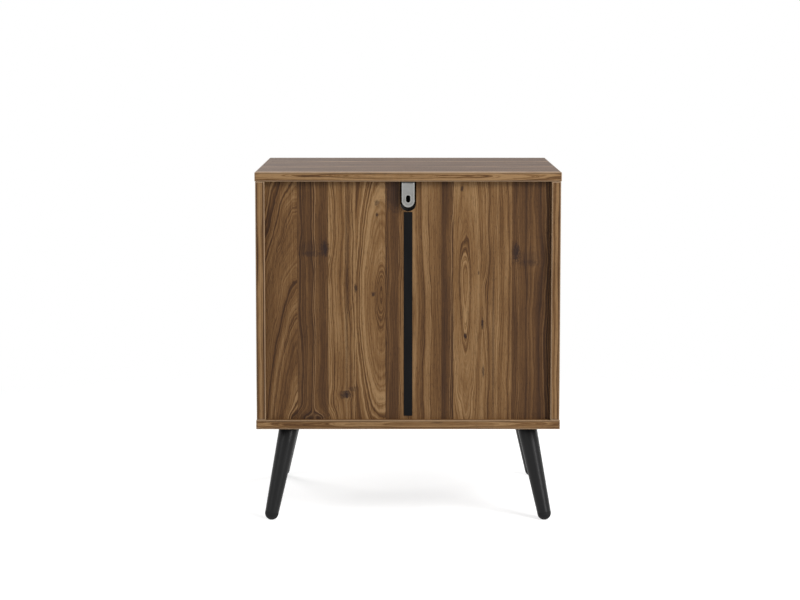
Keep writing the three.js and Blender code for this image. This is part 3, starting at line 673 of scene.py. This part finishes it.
wheel_radius, wheel_round, wheel_bore = 8.5, 0.7, 2.8
hub, hub_foot, tread_foot, tread, sunk = 4.6, 4.9, 6.8, 7.1, 0.6
runner_sheet, rail_screw_height = 1.2, 12
for level in ("lower", "upper"):
    for side, turn in (("left", -1), ("right", 1)):
        name = f"{level}_{side}"
        face_with(enamelled_steel, f"{name}_cabinet_runner", f"{name}_drawer_runner")
        for carrier, body in (("cabinet", "front"), ("drawer", "rear")):
            low, high = extent(f"{name}_{carrier}_roller")
            half = (high.x - low.x) / 2
            wheel = bmesh.new()
            turned(wheel, [
                (wheel_bore, -half), (hub, -half), (hub_foot, sunk - half),
                (tread_foot, sunk - half), (tread, -half), (wheel_radius - wheel_round, -half),
                (wheel_radius, wheel_round - half), (wheel_radius, half - wheel_round),
                (wheel_radius - wheel_round, half), (tread, half), (tread_foot, half - sunk),
                (hub_foot, half - sunk), (hub, half), (wheel_bore, half), (wheel_bore, -half)],
                aimed(*((low + high) / 2), (1, 0, 0)), 48)
            shaped(f"{name}_{carrier}_wheel", wheel, nylon_white, f"{name}_{body}_wheel", "nylon",
                   f"{name}_{carrier}_roller")

        low, high = extent(f"{name}_cabinet_runner")
        channel_face = outer_face(f"{name}_cabinet_runner", turn) - turn * runner_sheet
        fixings = bmesh.new()
        for share in (0.12, 0.5, 0.88):
            screw(fixings, aimed(channel_face, low.y + share * (high.y - low.y),
                                 (low.z + high.z) / 2, (-turn, 0, 0)),
                  head=3.2, height=1.1, shank=1.8, length=12)
        shaped(f"{name}_cabinet_runner_screws", fixings, zinc_steel, "root", "zinc_steel")
        rail_face = (outer_face(f"{level}_drawer_{side}_side", turn)
                     + turn * (joint_gap + runner_sheet))
        fixings = bmesh.new()
        for share in (0.1, 0.45, 0.8):
            screw(fixings, aimed(rail_face, low.y + share * (high.y - low.y),
                                 low.z + rail_screw_height, (turn, 0, 0)),
                  head=3, height=0.9, shank=1.6, length=9)
        shaped(f"{name}_drawer_runner_screws", fixings, zinc_steel, f"{level}_drawer", "zinc_steel")


# Drawer boxes
# 12 mm boards wrapped in a dark grey foil with a linen texture, with a 3 mm hardboard bottom
# slid into their grooves. Cam locks hold the front, and screws through the sides hold the back.

foil = Finish("drawer_board")
spot = foil.place()
threads = (foil.clouds(foil.scaled(spot, 1.8, 0.12, 0.12), detail=2)
           + foil.clouds(foil.scaled(spot, 0.12, 1.8, 0.12), detail=2)
           + foil.clouds(foil.scaled(spot, 0.12, 0.12, 1.8), detail=2)) / 3
cast = foil.clouds(spot, 0.012, 2)
grey_foil = foil.coat(
    foil.ramp(threads * 0.75 + cast * 0.25, (0.38, tint(42, 41, 40)), (0.6, tint(66, 64, 62))),
    threads * 0.3 + 0.4, threads, 0.1, Specular_IOR_Level=0.3)
hardboard = Finish("hardboard")
spot = hardboard.place()
mesh_print = (hardboard.clouds(hardboard.scaled(spot, 1.4, 0.3, 1), detail=1)
              + hardboard.clouds(hardboard.scaled(spot, 0.3, 1.4, 1), detail=1)) / 2
raw = hardboard.ramp(mesh_print, (0.35, tint(98, 72, 48)), (0.65, tint(132, 101, 70)))
clad = hardboard.ramp(mesh_print, (0.35, tint(58, 56, 54)), (0.65, tint(76, 73, 70)))
upward = hardboard.facing().toward((0, 0, 1)).rise(-0.2, 0.2)
drawer_base = hardboard.coat(
    hardboard.mix(upward, raw, clad), mesh_print * 0.2 + 0.42, mesh_print, 0.08)

cam_inset, back_middle = 24, 6
for level in ("lower", "upper"):
    box = f"{level}_drawer"
    face_with(grey_foil, f"{box}_left_side", f"{box}_right_side", f"{box}_back")
    face_with(drawer_base, f"{box}_bottom")
    for side, turn in (("left", -1), ("right", 1)):
        low, high = extent(f"{box}_{side}_side")
        outer = outer_face(f"{box}_{side}_side", turn)
        cams, fixings = bmesh.new(), bmesh.new()
        for share in (0.32, 0.8):
            height = low.z + share * (high.z - low.z)
            screw(cams, aimed(outer, low.y + cam_inset, height, (turn, 0, 0)),
                  head=7.4, height=0.5, shank=6.8, length=9, steps=24)
            screw(fixings, aimed(outer, high.y - back_middle, height, (turn, 0, 0)),
                  head=3.4, height=0.7, shank=1.8, length=30)
        shaped(f"{box}_{side}_cams", cams, zinc_steel, box, "zinc_steel")
        shaped(f"{box}_{side}_back_screws", fixings, zinc_steel, box, "zinc_steel")


# Drawer fronts
# The same walnut board as the cabinet, its print running across, set inside the cabinet with
# 3 mm gaps. Each has two bores for its handle's screws.

front_leaves = {
    "lower": ((-250, -120, 40, 0.06, 0.44, 0.4), (-62, -38, -70, 0.1, 0.62, 0.12),
              (-8, 60, 0, 0.02, 0.34, 0.75), (40, 66, 90, 0.09, 0.56, 0.2)),
    "upper": ((-250, -92, -90, 0.08, 0.58, 0.15), (-50, 20, 0, 0.02, 0.36, 0.7),
              (4, 30, 60, 0.1, 0.62, 0.12), (58, 130, 0, 0.03, 0.46, 0.4)),
}
front_knots = {
    "lower": ((22, 110, 6, 12, 0.8, 0.7), (-38, -150, 3, 7, 0.7, 0.6)),
    "upper": ((-24, -96, 6, 14, 0.8, 0.7), (30, 150, 3, 8, 0.7, 0.6)),
}
for level, batch in (("lower", 30), ("upper", 37)):
    board = f"{level}_drawer_front"
    face_with(walnut(f"walnut_{level}_front", [board], (0, 2, 1), (1, 0, 0), front_leaves[level],
                     front_knots[level], batch), board, arris=board_arris)


# Handles
# A flat steel bar with rounded edges on two turned posts with flared feet, powder-coated black,
# each post held by a screw through the drawer front.

bar_size, bar_round, post_spacing, head_height = Vector((160, 7, 10)), 2.5, 128, 2.6
flared_foot = ((0, 0), (6.1, 0), (6.5, 0.4), (6.3, 0.9), (5.3, 1.8), (4.7, 3), (4.5, 5))
post_radius, post_top_radius = 4.5, 4.8
for level in ("lower", "upper"):
    body = f"{level}_drawer"
    low, high = extent(f"{level}_handle")
    middle = (low.z + high.z) / 2
    bar = bmesh.new()
    bmesh.ops.create_cube(bar, size=1)
    bmesh.ops.scale(bar, vec=bar_size, verts=bar.verts)
    bmesh.ops.bevel(bar, geom=bar.edges[:], offset=bar_round, segments=6, profile=0.5,
                    affect="EDGES", material=-1)
    bmesh.ops.translate(bar, vec=(0, low.y + bar_size.y / 2, middle), verts=bar.verts)
    shaped(f"{level}_handle_bar", bar, black_metal, body, "black_metal", f"{level}_handle")
    reach = high.y - low.y - bar_size.y
    for side, turn in (("left", -1), ("right", 1)):
        across = turn * post_spacing / 2
        post = bmesh.new()
        turned(post, [*flared_foot, (post_radius, reach - 1), (post_top_radius, reach),
                      (0, reach)], aimed(across, high.y, middle, (0, -1, 0)), 48)
        shaped(f"{level}_handle_post_{side}", post, black_metal, body, "black_metal")
        seat = extent(f"{level}_handle_screw_{side}")[1].y - head_height
        fixing = bmesh.new()
        screw(fixing, aimed(across, seat, middle, (0, 1, 0)),
              head=4.4, height=head_height, shank=2, length=25.3)
        shaped(f"{level}_handle_screw_{side}_cross", fixing, zinc_steel, body, "zinc_steel",
               f"{level}_handle_screw_{side}")


# Board fixings under the cabinet
# Screws with broad flat heads, driven up through the bottom board into the lower ends of the
# side boards, three on each side.

for side in ("left", "right"):
    low, high = extent(f"{side}_side_panel")
    fixings = bmesh.new()
    for share in (0.12, 0.5, 0.88):
        screw(fixings, aimed((low.x + high.x) / 2,
                             board_low.y + share * (board_high.y - board_low.y), board_low.z,
                             (0, 0, -1)), head=4.8, height=0.5, shank=2.4, length=40, steps=24)
    shaped(f"bottom_fixings_{side}", fixings, zinc_steel, "root", "zinc_steel")


# Studio
# A plain pale floor and a white room. The main lamp is high on the right of the picture, with a
# small low one beside it and a fill on the left; two more light the front. The camera is behind.

def seen(finish):
    """1 for what is seen by the camera or in gloss and glass, and 0 for what only gives light."""
    ray = finish.node("ShaderNodeLightPath")
    return ray.most(ray.also("Is Glossy Ray")).most(ray.also("Is Transmission Ray"))


white, floor_grey, floor_glow, room_light = (1, 1, 1, 1), (0.62, 0.62, 0.62, 1), 0.66, 0.24
ground = bmesh.new()
bmesh.ops.create_grid(ground, x_segments=8, y_segments=8, size=30)
ground_mesh = bpy.data.meshes.new("floor")
ground.to_mesh(ground_mesh)
ground.free()
floor = bpy.data.objects.new("floor", ground_mesh)
bpy.context.scene.collection.objects.link(floor)
paper = Finish("paper_floor")
shown = seen(paper)
away = paper.node("ShaderNodeVectorMath", {"operation": "LENGTH"}, {0: paper.place()}, "Value")
near = paper.node("ShaderNodeAddShader", (), {
    0: paper.node("ShaderNodeBsdfDiffuse", (), {"Color": floor_grey}),
    1: paper.node("ShaderNodeEmission", (), {"Color": white, "Strength": shown * floor_glow})})
far = paper.node("ShaderNodeEmission", (), {"Color": white})
paper.node("ShaderNodeOutputMaterial", (), {"Surface": paper.node(
    "ShaderNodeMixShader", (), {0: shown * away.rise(500, 1500), 1: near, 2: far})})
ground_mesh.materials.append(paper.owner)

room = Finish("studio", world=True)
room.node("ShaderNodeOutputWorld", (), {"Surface": room.node(
    "ShaderNodeBackground", (),
    {"Color": white, "Strength": seen(room) * (1 - room_light) + room_light})})
bpy.context.scene.world = room.owner

aim = Vector((0, 0, 0.36))
for name, place, size, power in (
        ("key", (-2.0, 2.4, 2.4), 1.5, 93), ("rear_low", (-2.3, 2.6, 0.6), 0.8, 22),
        ("rear_fill", (2.5, 2.6, 1.7), 1.5, 26), ("front_key", (2.0, -3.0, 1.8), 1.9, 80),
        ("front_fill", (-2.6, -2.4, 1.4), 1.6, 42), ("overhead", (0, 0, 3.6), 2, 1)):
    lamp = bpy.data.lights.new(name, "AREA")
    lamp.shape, lamp.size, lamp.energy = "SQUARE", size, power
    stand = bpy.data.objects.new(name, lamp)
    stand.location = place
    stand.rotation_mode = "QUATERNION"
    stand.rotation_quaternion = (aim - Vector(place)).to_track_quat("-Z", "Y")
    stand.visible_camera = False
    bpy.context.scene.collection.objects.link(stand)

film_width, picture_width, focal_pixels, tilt_down = 36, 800, 2316, 6.545
camera_data = bpy.data.cameras.new("rear_view")
camera_data.sensor_width = film_width
camera_data.lens = film_width * focal_pixels / picture_width
camera_data.clip_end = 100
camera = bpy.data.objects.new("rear_view", camera_data)
camera.location = (0.01325, 4.00165, 0.8029)
camera.rotation_euler = (math.radians(90 - tilt_down), 0, math.pi)
bpy.context.scene.collection.objects.link(camera)
bpy.context.scene.camera = camera
bpy.context.scene.view_settings.view_transform = "Standard"
